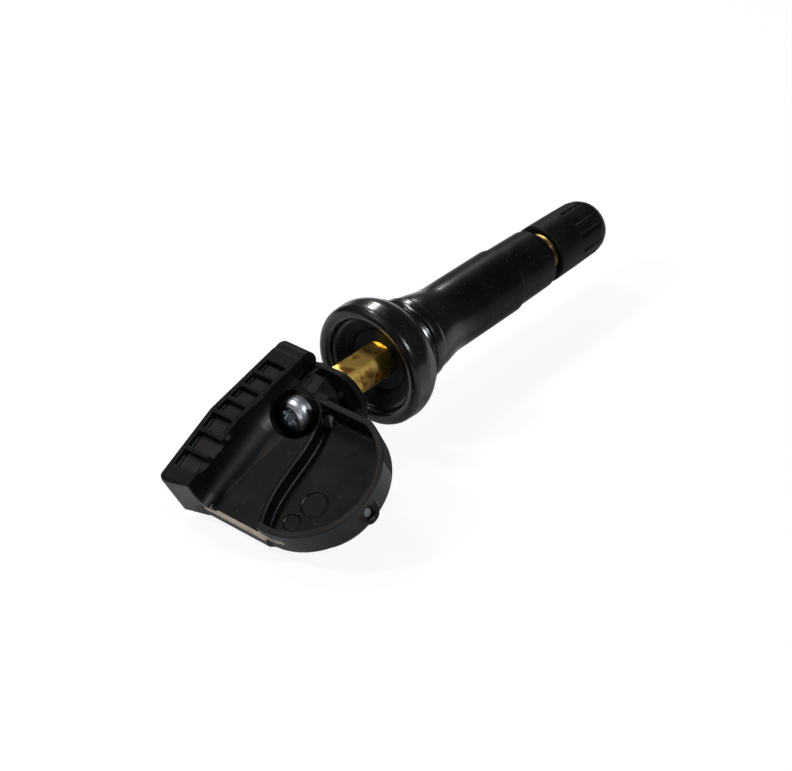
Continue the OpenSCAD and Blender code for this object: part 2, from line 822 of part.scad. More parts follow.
module antenna_strap() {
    color([0.75, 0.7, 0.6]) deck()
    translate([board_u + 0.3, strap_y, part_low]) {
        for (u = [0, strap_len - strap_w]) translate([u, 0, 0]) cube([strap_w, strap_t, strap_rise]);
        translate([0, 0, strap_rise - strap_w]) cube([strap_len, strap_t, strap_w]);
    }
}

housing();
base_cover();
retaining_screw();
valve_body();
valve_stem();
core_barrel();
core_gasket();
core_pin();
core_washer();
core_spring();
valve_cap();
cap_seal();
circuit_board();
battery_cell();
cell_tab_top();
cell_tab_bottom();
sensor_chip();
port_filter();
crystal();
coil_core();
coil_winding();
antenna_strap();
chip_capacitors();
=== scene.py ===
"""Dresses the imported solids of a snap-in tyre pressure sensor and sets the photograph's view."""

import json
import logging
import math
from dataclasses import dataclass
from enum import Enum
from typing import Dict, List, Sequence, Tuple, Union

import bpy
from mathutils import Matrix, Vector

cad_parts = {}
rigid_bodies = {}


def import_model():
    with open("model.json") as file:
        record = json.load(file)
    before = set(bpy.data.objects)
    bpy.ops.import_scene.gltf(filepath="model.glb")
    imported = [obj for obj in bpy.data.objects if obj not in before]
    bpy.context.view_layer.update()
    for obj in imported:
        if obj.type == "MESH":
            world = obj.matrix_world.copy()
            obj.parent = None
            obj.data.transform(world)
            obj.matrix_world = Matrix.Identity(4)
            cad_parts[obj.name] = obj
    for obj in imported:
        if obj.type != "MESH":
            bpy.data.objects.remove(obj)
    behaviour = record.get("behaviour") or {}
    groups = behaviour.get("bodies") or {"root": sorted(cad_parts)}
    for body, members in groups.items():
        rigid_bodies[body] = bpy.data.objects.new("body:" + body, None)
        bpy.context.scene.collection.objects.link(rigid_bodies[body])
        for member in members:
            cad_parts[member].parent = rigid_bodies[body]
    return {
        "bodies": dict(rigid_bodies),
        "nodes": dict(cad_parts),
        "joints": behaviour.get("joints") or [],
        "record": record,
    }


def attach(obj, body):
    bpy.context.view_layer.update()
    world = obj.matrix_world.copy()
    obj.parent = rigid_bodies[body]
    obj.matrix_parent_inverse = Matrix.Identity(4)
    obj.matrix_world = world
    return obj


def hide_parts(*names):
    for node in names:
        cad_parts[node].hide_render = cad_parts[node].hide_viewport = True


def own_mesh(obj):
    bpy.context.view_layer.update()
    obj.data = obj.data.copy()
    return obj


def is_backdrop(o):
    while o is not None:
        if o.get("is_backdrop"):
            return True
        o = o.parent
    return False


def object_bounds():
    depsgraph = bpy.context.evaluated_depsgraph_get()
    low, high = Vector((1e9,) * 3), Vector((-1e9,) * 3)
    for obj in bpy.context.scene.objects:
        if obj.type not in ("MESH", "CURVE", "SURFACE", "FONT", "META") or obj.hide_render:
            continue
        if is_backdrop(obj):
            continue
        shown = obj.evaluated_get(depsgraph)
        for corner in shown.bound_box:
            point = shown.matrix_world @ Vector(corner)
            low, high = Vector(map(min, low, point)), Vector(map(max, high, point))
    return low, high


LOG = logging.getLogger("scene")
MM = 0.001
SENSOR_BODY = "sensor"

Colour = Tuple[float, float, float]
Point = Tuple[float, float, float]
Span = Tuple[float, float]
Operand = Union["Wire", float, Tuple[float, float, float]]

# The Mix node's colour sockets share their names with its other sockets, so they go by place.
MIX_SHARE, MIX_FIRST, MIX_SECOND, MIX_RESULT = 0, 6, 7, 2


class Skin(Enum):
    """The finishes that one housing moulding shows."""

    GLOSS = 0
    SATIN = 1
    DULL = 2
    DECK = 3
    MARK = 4
    # a pale beige painted highlight along the deck's near edge
    EDGE_HIGHLIGHT = 5
    # a pale grey painted highlight on the gusset
    GUSSET_HIGHLIGHT = 6


# Shader arithmetic


class Wire:
    """One output of a node tree. Arithmetic on it adds nodes to the same tree."""

    def __init__(self, graph: "Graph", socket: bpy.types.NodeSocket) -> None:
        """Holds a socket.

        Args:
            graph: the tree that the socket belongs to.
            socket: the output.
        """
        self.graph = graph
        self.socket = socket

    @property
    def plain(self) -> bool:
        """Whether the output is a single value.

        Returns:
            True for a value, False for a colour or a vector.
        """
        return self.socket.type == "VALUE"

    def _join(self, operation: str, first: Operand, second: Operand) -> "Wire":
        """Adds a Math node for values, or a Vector Math node where a colour or vector takes part.

        Args:
            operation: Blender's name for the operation.
            first: the left side.
            second: the right side.

        Returns:
            The result.
        """
        both = (first, second)
        plain = all(x.plain if isinstance(x, Wire) else not isinstance(x, tuple) for x in both)
        kind = "ShaderNodeMath" if plain else "ShaderNodeVectorMath"
        return self.graph.node(kind, {0: first, 1: second}, operation=operation)

    def __add__(self, other: Operand) -> "Wire":
        """The sum."""
        return self._join("ADD", self, other)

    def __radd__(self, other: Operand) -> "Wire":
        """The sum, with the wire on the right."""
        return self._join("ADD", other, self)

    def __sub__(self, other: Operand) -> "Wire":
        """The difference."""
        return self._join("SUBTRACT", self, other)

    def __rsub__(self, other: Operand) -> "Wire":
        """The difference, with the wire on the right."""
        return self._join("SUBTRACT", other, self)

    def __mul__(self, other: Operand) -> "Wire":
        """The product."""
        return self._join("MULTIPLY", self, other)

    def __rmul__(self, other: Operand) -> "Wire":
        """The product, with the wire on the right."""
        return self._join("MULTIPLY", other, self)

    def between(self, low: float, high: float) -> "Wire":
        """Rises smoothly from 0 to 1 between two values.

        Args:
            low: where the result is 0.
            high: where the result is 1.

        Returns:
            The eased result.
        """
        inputs = {0: self, 1: low, 2: high}
        return self.graph.node("ShaderNodeMapRange", inputs, interpolation_type="SMOOTHSTEP")


class Graph:
    """The node tree of one new material or world."""

    def __init__(self, owner: Union[bpy.types.Material, bpy.types.World]) -> None:
        """Empties the owner's tree.

        Args:
            owner: what the tree belongs to.
        """
        self.owner = owner
        owner.use_nodes = True
        self.tree = owner.node_tree
        self.tree.nodes.clear()

    def node(
        self,
        kind: str,
        inputs: Dict[Union[int, str], Operand],
        output: Union[int, str] = 0,
        **settings: object,
    ) -> Wire:
        """Adds any node.

        Args:
            kind: Blender's name for the node type.
            inputs: what goes into each input, by place or name.
            output: the output wanted, by place or name.
            **settings: properties of the node.

        Returns:
            The wanted output.
        """
        made = self.tree.nodes.new(kind)
        for key, value in settings.items():
            setattr(made, key, value)
        for key, value in inputs.items():
            self.feed(made.inputs[key], value)
        return Wire(self, made.outputs[output])

    def feed(self, socket: bpy.types.NodeSocket, value: Operand) -> None:
        """Links a wire to an input, or sets the input's own value.

        Args:
            socket: the input.
            value: a wire, a number or three numbers.
        """
        if isinstance(value, Wire):
            self.tree.links.new(value.socket, socket)
        elif socket.type == "VALUE":
            socket.default_value = value
        else:
            parts = value if isinstance(value, tuple) else (value, value, value)
            socket.default_value = (*parts, 1.0) if socket.type == "RGBA" else parts

    def place(self) -> Wire:
        """The surface point in the object's own frame.

        Returns:
            The point in millimetres.
        """
        return self.node("ShaderNodeTexCoord", {}, "Object") * (1 / MM)

    def noise(self, size: float, detail: float = 3.0, stretch: Point = (1, 1, 1)) -> Wire:
        """Cloudy noise.

        Args:
            size: the size of its blobs in millimetres.
            detail: how many finer layers it has.
            stretch: how much finer it is along each axis.

        Returns:
            A value from 0 to 1.
        """
        inputs = {"Vector": self.place() * stretch, "Scale": 1 / size, "Detail": detail}
        return self.node("ShaderNodeTexNoise", inputs, "Fac")

    def mix(self, share: Operand, first: Operand, second: Operand) -> Wire:
        """Blends two colours.

        Args:
            share: how much of the second there is.
            first: the colour at 0.
            second: the colour at 1.

        Returns:
            The blended colour.
        """
        inputs = {MIX_SHARE: share, MIX_FIRST: first, MIX_SECOND: second}
        return self.node("ShaderNodeMix", inputs, MIX_RESULT, data_type="RGBA")

    def end(self, surface: Wire) -> None:
        """Adds the tree's last node.

        Args:
            surface: the shader that it shows.
        """
        of_world = isinstance(self.owner, bpy.types.World)
        kind = "ShaderNodeOutputWorld" if of_world else "ShaderNodeOutputMaterial"
        self.feed(self.tree.nodes.new(kind).inputs["Surface"], surface)

    def surface(self, bump: Wire, depth: float, **inputs: Operand) -> bpy.types.Material:
        """Ends the tree in one shader with a bumped surface.

        Args:
            bump: the height of the surface, from 0 to 1.
            depth: how deep the bump is, in millimetres.
            **inputs: what goes into the shader, with _ for a space in an input's name.

        Returns:
            The finished material.
        """
        relief = {"Height": bump, "Distance": depth * MM, "Strength": 1.0}
        sockets = {key.replace("_", " "): value for key, value in inputs.items()}
        sockets["Normal"] = self.node("ShaderNodeBump", relief)
        self.end(self.node("ShaderNodeBsdfPrincipled", sockets, "BSDF"))
        return self.owner


# Finishes


@dataclass(frozen=True)
class Moulded:
    """A moulded plastic or rubber: two tones in clouds, pale specks, a fine grain and uneven gloss.

    Attributes:
        name: the material's name.
        base: the main colour.
        tone: the colour of the clouds.
        rough: the least and the most roughness.
        grain: the size of the grain, as all sizes here in millimetres.
        depth: how deep the grain is.
        specks: how strongly the pale specks show.
        coat: the weight of the glossy coat.
        shine: the level of the plain reflection.
        coat_rough: the coat's roughness.
        cloud: the size of the clouds.
        cloud_edge: the noise at which a cloud starts and is whole.
        smear: the size of the patches of uneven gloss.
        smear_stretch: how much finer the smears are along each axis.
        speck: the size of the noise that the specks come from.
        speck_edge: the noise at which a speck starts and is whole.
        speck_rough: the roughness that a speck adds.
    """

    name: str
    base: Colour
    tone: Colour
    rough: Span
    grain: float = 0.25
    depth: float = 0.01
    specks: float = 0.0
    coat: float = 0.0
    shine: float = 0.5
    coat_rough: float = 0.15
    cloud: float = 4.0
    cloud_edge: Span = (0.35, 0.7)
    smear: float = 1.6
    smear_stretch: Point = (0.4, 1, 1)
    speck: float = 0.5
    speck_edge: Span = (0.66, 0.74)
    speck_rough: float = 0.3

    def gleam(self, graph: Graph) -> Operand:
        """How much of the coat each point has.

        Args:
            graph: the material's tree.

        Returns:
            One share for the whole surface.
        """
        return self.coat

    def make(self) -> bpy.types.Material:
        """Builds the material.

        Returns:
            The material.
        """
        graph = Graph(bpy.data.materials.new(self.name))
        clouds = graph.noise(self.cloud).between(*self.cloud_edge)
        smears = graph.noise(self.smear, detail=5.0, stretch=self.smear_stretch)
        grain = graph.noise(self.grain, detail=2.0)
        dust = graph.noise(self.speck, detail=4.0).between(*self.speck_edge) * self.specks
        body = graph.mix(clouds, self.base, self.tone)
        low, high = self.rough
        return graph.surface(
            grain,
            self.depth,
            Base_Color=graph.mix(dust, body, DUST),
            Roughness=low + smears * (high - low) + dust * self.speck_rough,
            Specular_IOR_Level=self.shine,
            Coat_Weight=self.gleam(graph),
            Coat_Roughness=self.coat_rough,
        )


@dataclass(frozen=True)
class Rubber(Moulded):
    """A moulded rubber, glossy on the flange and the ridge, and dull in the cup and on the barrel.

    Attributes:
        cup_r: the cup's radius.
        cup_x: where along the stem the cup ends.
        cone_end: where along the stem the barrel begins.
        cup_fade: how far the gloss fades across the cup's rim, and along the stem behind it.
        cone_fade: how far before and past the cone's end the gloss fades.
        barrel_dull: how much of the coat the barrel lacks.
    """

    cup_r: float = 7.2
    cup_x: float = -1.0
    cone_end: float = 12.0
    cup_fade: Span = (0.4, 1.0)
    cone_fade: Span = (5.0, 4.0)
    barrel_dull: float = 0.95

    def gleam(self, graph: Graph) -> Operand:
        """How much of the coat each point has.

        Args:
            graph: the material's tree.

        Returns:
            The share, most on the flange and the ridge.
        """
        place = graph.place()
        along = graph.node("ShaderNodeSeparateXYZ", {0: place}, "X")
        across = {0: place * (0, 1, 1)}
        outward = graph.node("ShaderNodeVectorMath", across, "Value", operation="LENGTH")
        rim_fade, back_fade = self.cup_fade
        past_rim = outward.between(self.cup_r - rim_fade, self.cup_r + rim_fade)
        past_cup = along.between(self.cup_x - back_fade, self.cup_x)
        inside = (1 - past_rim) * (1 - past_cup)
        before, after = self.cone_fade
        barrel = along.between(self.cone_end - before, self.cone_end + after)
        return (1 - inside) * (1 - barrel * self.barrel_dull) * self.coat


@dataclass(frozen=True)
class EdgeHighlight:
    """A moulded edge with a pale painted highlight along it, in broken patches.

    Attributes:
        name: the material's name.
        base: the colour of the edge between the patches.
        highlight_tone: the colour of a patch, which is the painted highlight.
        rough: the roughness of the edge between the patches and of a patch.
        patch: the size of the patches.
        patch_stretch: how much finer the patches are along each axis.
        patch_edge: the noise at which a patch starts and is whole.
        patch_share: how pale a patch is at least, and how much paler the grain makes it.
        grain: the size of the grain.
        depth: how deep the grain is.
    """

    name: str
    base: Colour
    highlight_tone: Colour
    rough: Span = (0.35, 0.6)
    patch: float = 0.9
    patch_stretch: Point = (1, 0.35, 1)
    patch_edge: Span = (0.36, 0.5)
    patch_share: Span = (0.6, 0.6)
    grain: float = 0.14
    depth: float = 0.03

    def make(self) -> bpy.types.Material:
        """Builds the material.

        Returns:
            The material.
        """
        graph = Graph(bpy.data.materials.new(self.name))
        noise = graph.noise(self.patch, detail=5.0, stretch=self.patch_stretch)
        patches = noise.between(*self.patch_edge)
        grain = graph.noise(self.grain)
        least, grained = self.patch_share
        low, high = self.rough
        # The pale patches are the painted highlight, paler where the grain is higher.
        return graph.surface(
            grain,
            self.depth,
            Base_Color=graph.mix(patches * (least + grain * grained), self.base, self.highlight_tone),
            Roughness=low + patches * (high - low),
        )


@dataclass(frozen=True)
class Turned:
    """A turned or drawn metal: rings round the stem's axis, with tarnish in soft patches.

    Attributes:
        name: the material's name.
        base: the colour of the clean metal.
        tarnish: the colour of a tarnished patch.
        rough: the least and the most roughness.
        ring: the width of the rings.
        depth: how deep the rings are.
        patches: the noise at which a patch starts and is whole.
        ring_stretch: how much finer the rings are along each axis.
        patch: the size of the patches.
        ring_share: how much of the roughness follows the rings. The patches have the rest.
    """

    name: str
    base: Colour
    tarnish: Colour
    rough: Span
    ring: float = 0.16
    depth: float = 0.002
    patches: Span = (0.5, 0.8)
    ring_stretch: Point = (1, 0.02, 0.02)
    patch: float = 2.2
    ring_share: float = 0.4

    def make(self) -> bpy.types.Material:
        """Builds the material.

        Returns:
            The material.
        """
        graph = Graph(bpy.data.materials.new(self.name))
        rings = graph.noise(self.ring, detail=1.0, stretch=self.ring_stretch)
        patches = graph.noise(self.patch, detail=5.0).between(*self.patches)
        uneven = rings * self.ring_share + patches * (1 - self.ring_share)
        low, high = self.rough
        return graph.surface(
            rings,
            self.depth,
            Base_Color=graph.mix(patches, self.base, self.tarnish),
            Metallic=1.0,
            Roughness=low + uneven * (high - low),
        )


Finish = Union[Moulded, EdgeHighlight, Turned]

DUST: Colour = (0.2, 0.19, 0.17)
GLOSS = Moulded(
    "housing_gloss", base=(0.002, 0.002, 0.0023), tone=(0.004, 0.004, 0.0044), rough=(0.32, 0.44),
    grain=0.6, depth=0.002, specks=0.05, shine=0.24,
)
SATIN = Moulded(
    "housing_satin", base=(0.003, 0.0028, 0.0026), tone=(0.005, 0.0047, 0.0044), rough=(0.45, 0.6),
    grain=0.2, specks=0.1, shine=0.06,
)
MARK = Moulded(
    "housing_mark", base=(0.0035, 0.0032, 0.003), tone=(0.007, 0.0064, 0.0056), rough=(0.5, 0.7),
    grain=0.3, depth=0.02, specks=0.1, shine=0.08,
)
DULL = Moulded(
    "housing_dull", base=(0.0105, 0.0094, 0.0078), tone=(0.016, 0.0142, 0.0115), rough=(0.6, 0.75),
    grain=0.14, depth=0.02, specks=0.14, shine=0.12,
)
DECK = Moulded(
    "housing_deck", base=(0.0046, 0.004, 0.0033), tone=(0.0085, 0.0074, 0.006), rough=(0.55, 0.75),
    grain=0.14, depth=0.02, specks=0.14, shine=0.09,
)
# The thread's brass is darker all over than the stem's brass, with patches that are nearly black.
THREAD_BRASS = Turned(
    "thread_brass", base=(0.5, 0.34, 0.1), tarnish=(0.06, 0.04, 0.02), rough=(0.3, 0.5),
    patches=(0.35, 0.6),
)
# Painted highlight: the gusset's faces in pale grey, far lighter than the rest of the moulding.
GUSSET_HIGHLIGHT = Moulded(
    "housing_gusset_highlight", base=(0.1, 0.104, 0.108), tone=(0.14, 0.144, 0.148), rough=(0.4, 0.5),
    grain=0.3, specks=0.1, shine=0.3,
)
# Painted highlight: a pale beige line, in broken patches, along the deck's near edge.
EDGE_HIGHLIGHT = EdgeHighlight("housing_edge_highlight", base=(0.012, 0.011, 0.01), highlight_tone=(0.42, 0.35, 0.27))

SLOTS: Dict[str, Finish] = {
    "housing": GLOSS,
    "cover": Moulded(
        "cover_plastic", base=(0.01, 0.01, 0.0105), tone=(0.016, 0.016, 0.016), rough=(0.4, 0.55),
        grain=0.15, depth=0.012,
    ),
    "screw": Turned(
        "screw_zinc", base=(0.9, 0.94, 1.0), tarnish=(0.7, 0.76, 0.86), rough=(0.3, 0.42), ring=0.3,
        depth=0.001, patches=(0.62, 0.9),
    ),
    "rubber": Rubber(
        "valve_rubber", base=(0.002, 0.002, 0.0023), tone=(0.0045, 0.0045, 0.0049),
        rough=(0.34, 0.46), grain=0.3, depth=0.004, specks=0.3, coat=0.8, shine=0.06,
        coat_rough=0.2,
    ),
    "brass": Turned(
        "stem_brass", base=(1.0, 0.67, 0.17), tarnish=(0.28, 0.13, 0.03), rough=(0.37, 0.52),
        patches=(0.52, 0.64),
    ),
    "core_brass": Turned(
        "core_brass", base=(0.9, 0.68, 0.28), tarnish=(0.7, 0.48, 0.2), rough=(0.25, 0.4),
    ),
    "gasket": Moulded(
        "gasket_rubber", base=(0.1, 0.02, 0.018), tone=(0.07, 0.016, 0.014), rough=(0.5, 0.6),
    ),
    "spring_steel": Turned(
        "spring_steel", base=(0.7, 0.7, 0.7), tarnish=(0.5, 0.49, 0.47), rough=(0.25, 0.4),
    ),
    "cap": Moulded(
        "cap_plastic", base=(0.0026, 0.0024, 0.0022), tone=(0.0055, 0.005, 0.0045),
        rough=(0.38, 0.54), grain=0.2, depth=0.012, specks=0.15, shine=0.08,
    ),
    "board": Moulded(
        "board_lacquer", base=(0.01, 0.09, 0.035), tone=(0.015, 0.12, 0.05), rough=(0.25, 0.4),
        grain=0.6, coat=0.3,
    ),
    "cell_steel": Turned(
        "cell_steel", base=(0.7, 0.7, 0.69), tarnish=(0.55, 0.55, 0.53), rough=(0.22, 0.38),
    ),
    "chip": Moulded(
        "chip_body", base=(0.012, 0.012, 0.012), tone=(0.02, 0.02, 0.02), rough=(0.5, 0.6),
        grain=0.08,
    ),
    "filter": Moulded(
        "filter_felt", base=(0.1, 0.11, 0.12), tone=(0.2, 0.21, 0.22), rough=(0.7, 0.85),
        grain=0.06, depth=0.03,
    ),
    "crystal_can": Turned(
        "crystal_can", base=(0.72, 0.71, 0.68), tarnish=(0.58, 0.57, 0.53), rough=(0.2, 0.3),
    ),
    "ferrite": Moulded(
        "ferrite_grit", base=(0.03, 0.03, 0.034), tone=(0.05, 0.05, 0.055), rough=(0.6, 0.75),
        grain=0.08, depth=0.02,
    ),
    "copper": Turned(
        "coil_copper", base=(0.8, 0.34, 0.14), tarnish=(0.55, 0.22, 0.09), rough=(0.25, 0.4),
        ring=0.12, depth=0.02,
    ),
    "ceramic_body": Moulded(
        "ceramic_body", base=(0.42, 0.31, 0.2), tone=(0.5, 0.38, 0.26), rough=(0.4, 0.5),
    ),
}


class Paint:
    """Makes each finish once and hands it out."""

    def __init__(self) -> None:
        """Starts with nothing made."""
        self.made: Dict[str, bpy.types.Material] = {}

    def get(self, finish: Finish) -> bpy.types.Material:
        """The material of a finish.

        Args:
            finish: the finish.

        Returns:
            Its material, made on first use.
        """
        if finish.name not in self.made:
            self.made[finish.name] = finish.make()
        return self.made[finish.name]


# Pieces


def new_object(name: str, data: bpy.types.ID) -> bpy.types.Object:
    """Puts an object in the scene.

    Args:
        name: the object's name.
        data: its mesh, camera or light.

    Returns:
        The object.
    """
    made = bpy.data.objects.new(name, data)
    bpy.context.scene.collection.objects.link(made)
    return made


def mesh_of(
    name: str, points: Sequence[Vector], faces: Sequence[Sequence[int]]
) -> bpy.types.Mesh:
    """Makes a smooth-shaded mesh.

    Args:
        name: the mesh's name.
        points: its corners in millimetres.
        faces: its faces as corner numbers.

    Returns:
        The mesh, in metres.
    """
    mesh = bpy.data.meshes.new(name)
    mesh.from_pydata([Vector(p) * MM for p in points], [], faces)
    mesh.shade_smooth()
    return mesh


@dataclass(frozen=True)
class DeckFrame:
    """The sloped frame that the housing's top is square to, as part.scad places it.

    Attributes:
        near_x: how far the frame's origin lies from the rim, along the stem.
        near_drop: how far the origin lies under the stem's axis.
        slope: the deck's slope.
        far_slope: the slope of the strip past its bend.
    """

    near_x: float = 39.3
    near_drop: float = 9.8
    slope: float = math.radians(28)
    far_slope: float = math.radians(15)

    @property
    def along(self) -> Vector:
        """The way up the slope.

        Returns:
            A unit vector.
        """
        return Vector((math.cos(self.slope), 0, math.sin(self.slope)))

    @property
    def out(self) -> Vector:
        """The way off the deck.

        Returns:
            A unit vector.
        """
        return Vector((-math.sin(self.slope), 0, math.cos(self.slope)))

    @property
    def far_out(self) -> Vector:
        """The way off the strip past its bend.

        Returns:
            A unit vector.
        """
        return Vector((-math.sin(self.far_slope), 0, math.cos(self.far_slope)))

    def local(self, point: Vector) -> Vector:
        """Turns a point of the scene into the deck's frame.

        Args:
            point: the point in metres.

        Returns:
            The point in millimetres.
        """
        moved = point / MM - Vector((-self.near_x, 0, -self.near_drop))
        return Vector((moved.dot(self.along), moved.y, moved.dot(self.out)))

    def world(self, u: float, y: float, w: float) -> Vector:
        """Turns a point of the deck's frame into the scene's.

        Args:
            u: how far up the slope.
            y: how far toward the strip.
            w: how far off the base plane.

        Returns:
            The point in millimetres.
        """
        return Vector((-self.near_x, y, -self.near_drop)) + self.along * u + self.out * w


@dataclass(frozen=True)
class HousingLook:
    """Copies the housing's mesh, rounds its edges and gives each face its own finish.

    Two forms are carved as well: the cove beside the strip widens up the slope as far as the screw,
    and the space in front of the screw's head is cleared. Lengths are in millimetres, and heights
    are above the deck frame's base plane.

    Attributes:
        deck: the frame that the top is square to.
        facing: the least cosine between a face and a direction that it is said to face.
        sideways: the same for the sides of the pockets and the ribs.
        level: the same for the walls' tops and the worn edge.
        cell: the size of the cells that round the edges.
        ease: how far each smoothing step moves a corner.
        ease_steps: how many smoothing steps the whole moulding gets.
        lip_steps: how many more the lip gets.
        kept: the share of faces that stay after thinning.
        deck_h: the deck's height.
        deck_slack: how far above the deck a face still counts as part of it.
        mark_floor: the height under which a flat face is a mould mark's floor.
        strip_in: the y of the strip's inner side.
        strip_top: the strip's height before its bend.
        strip_bend: where up the slope the strip bends.
        pocket_depth: how far under the strip's top a pocket's floor starts.
        pocket_side_in: how far inside the strip a pocket's side starts.
        near_edge: where up the slope the near edge with the painted highlight ends.
        edge_highlight_reach: how far under and over the deck the painted highlight on the near edge
            reaches.
        satin_from: where up the slope the satin end begins.
        wall_rise: how far above the deck a wall's top starts.
        mark_edge: how far past the cove's foot its finish goes.
        gusset_from: the low corner of the box, in the deck's frame, that holds the gusset, whose
            faces get the pale grey painted highlight.
        gusset_to: its high corner.
        channel_r: the radius of the driver's channel round the stem's axis.
        channel_lip: how far from the channel's wall its lip goes.
        channel_slack: how far outside the channel's wall a point still counts as in it.
        lip_in: how far inside the strip the lip ends.
        lip_middle: how far under the deck the lip's middle lies.
        lip_half: how far above and under that it goes.
        head_x: where along the stem the cleared space starts, at the screw's head.
        boss_x: where along the stem the screw's boss begins, before which the carving ends.
        scoop_r: the radius of the cleared space.
        scoop_way: the way in which it is cleared.
        cove_r: the cove's radius at its two ends.
        cove_span: where up the slope the cove starts and stops growing.
        cove_to: where along the stem the cove ends.
        cove_ease: how far before that it starts to fade.
        skim: how far from the deck or the strip a point still counts as on it.
    """

    deck: DeckFrame = DeckFrame()
    facing: float = 0.95
    sideways: float = 0.7
    level: float = 0.9
    cell: float = 0.16
    ease: float = 0.5
    ease_steps: int = 3
    lip_steps: int = 70
    kept: float = 0.4
    deck_h: float = 2.7
    deck_slack: float = 0.1
    mark_floor: float = 0.36
    strip_in: float = 2.2
    strip_top: float = 8.3
    strip_bend: float = 11.95
    pocket_depth: float = 0.6
    pocket_side_in: float = 0.5
    near_edge: float = 0.8
    edge_highlight_reach: Span = (0.8, 0.3)
    satin_from: float = 17.5
    wall_rise: float = 0.15
    mark_edge: float = 0.2
    gusset_from: Point = (19.4, -6.6, 0.62)
    gusset_to: Point = (21.0, -4.95, 2.1)
    channel_r: float = 3.3
    channel_lip: float = 1.0
    channel_slack: float = 0.15
    lip_in: float = 0.5
    lip_middle: float = 0.8
    lip_half: float = 0.85
    head_x: float = -22.6
    boss_x: float = -21.75
    scoop_r: float = 3.6
    scoop_way: Point = (-0.641, -0.529, 0.556)
    cove_r: Span = (2.7, 5.2)
    cove_span: Span = (2.0, 14.0)
    cove_to: float = -24.8
    cove_ease: float = 1.4
    skim: float = 0.08

    def skin(self, centre: Vector, normal: Vector) -> Skin:
        """The finish of one face.

        Args:
            centre: the face's middle in metres.
            normal: its outward direction.

        Returns:
            The finish.
        """
        at = self.deck.local(centre)
        on_top = normal.dot(self.deck.out) > self.facing
        # Faces on the deck's near edge get the pale painted highlight.
        if self.on_edge_highlight(at, normal):
            return Skin.EDGE_HIGHLIGHT
        # The gusset's faces get the pale grey painted highlight.
        bounds = zip(self.gusset_from, at, self.gusset_to)
        if all(low < value < high for low, value, high in bounds):
            return Skin.GUSSET_HIGHLIGHT
        on_strip = at.y > self.strip_in
        facing_up = on_top or normal.dot(self.deck.far_out) > self.facing
        pocket = on_strip and facing_up and self.deck_h < at.z < self.pocket_top(at.x)
        if pocket or self.wall_top(at, normal):
            return Skin.DULL
        if on_top and 0 < at.z < self.deck_h + self.deck_slack:
            coved = at.y > self.strip_in - self.cove_radius(at.x) - self.mark_edge
            return Skin.MARK if coved or at.z < self.mark_floor else Skin.DECK
        in_strip = at.y > self.strip_in + self.pocket_side_in and at.z > self.deck_h
        pocket_side = in_strip and normal.y < -self.sideways and at.x > self.near_edge
        ribbed = on_strip and normal.dot(self.deck.along) > -self.sideways
        satin = (at.x > self.satin_from or ribbed) and not pocket_side
        return Skin.SATIN if satin else Skin.GLOSS

    def on_edge_highlight(self, at: Vector, normal: Vector) -> bool:
        """Whether a face lies on the near edge of the deck, which gets the painted highlight.

        Args:
            at: the face's middle in the deck's frame.
            normal: its outward direction.

        Returns:
            True on the edge.
        """
        under, over = self.edge_highlight_reach
        on_edge = at.x < self.near_edge and self.deck_h - under < at.z < self.deck_h + over
        return on_edge and normal.dot(self.deck.out) < self.level and at.y < self.strip_in

    def wall_top(self, at: Vector, normal: Vector) -> bool:
        """Whether a face lies on top of one of the walls round the battery side.

        Args:
            at: the face's middle in the deck's frame.
            normal: its outward direction.

        Returns:
            True on a wall's top.
        """
        beside = at.y < self.strip_in - self.cove_r[0]
        above = at.z > self.deck_h + self.wall_rise
        return beside and above and normal.dot(self.deck.out) > self.level

    def pocket_top(self, along: float) -> float:
        """The height under which a face in the strip belongs to a pocket.

        Args:
            along: how far up the slope.

        Returns:
            The height in millimetres.
        """
        drop = (along - self.strip_bend) * math.tan(self.deck.slope - self.deck.far_slope)
        return self.strip_top - max(0.0, drop) - self.pocket_depth

    def scoop(self, point: Vector) -> Vector:
        """Moves a point clear of the space in front of the screw's head.

        Args:
            point: a point of the housing's surface in millimetres.

        Returns:
            The point, pushed out to the wall of the space where it was inside.
        """
        way = Vector(self.scoop_way)
        offset = point - Vector((self.head_x, 0, 0))
        ahead = offset.dot(way)
        aside = offset - way * ahead
        if point.x > self.boss_x or ahead < 0 or not 0 < aside.length < self.scoop_r:
            return point
        return point + aside * (self.scoop_r / aside.length - 1)

    def cove_radius(self, along: float) -> float:
        """The radius of the cove between the deck and the strip, which grows up the slope.

        Args:
            along: how far up the slope.

        Returns:
            The radius in millimetres.
        """
        low, high = self.cove_span
        share = min(1.0, max(0.0, (along - low) / (high - low)))
        return self.cove_r[0] + (self.cove_r[1] - self.cove_r[0]) * share

    def cove(self, point: Vector) -> Vector:
        """Raises a point of the deck or of the driver's channel to the cove beside the strip.

        Args:
            point: a point of the housing's surface in millimetres.

        Returns:
            The point, moved where it lies outside the cove's round and short of the screw's head.
        """
        at = self.deck.local(point * MM)
        on_top = at.z > self.deck_h - self.skim and at.y < self.strip_in + self.skim
        in_channel = math.hypot(point.y, point.z) < self.channel_r + self.channel_slack
        if not (on_top or in_channel) or point.x > self.cove_to:
            return point
        radius = self.cove_radius(at.x)
        middle_y, middle_w = self.strip_in - radius, self.deck_h + radius
        y, w = at.y, at.z
        if y <= middle_y:
            w = max(w, self.deck_h)
        elif w >= middle_w:
            y = min(y, self.strip_in)
        else:
            share = min(1.0, radius / max(self.cell, math.hypot(y - middle_y, w - middle_w)))
            y = middle_y + (y - middle_y) * share
            w = middle_w + (w - middle_w) * share
        rise = min(1.0, (self.cove_to - point.x) / self.cove_ease)
        return point.lerp(self.deck.world(at.x, y, w), rise * rise * (3 - 2 * rise))

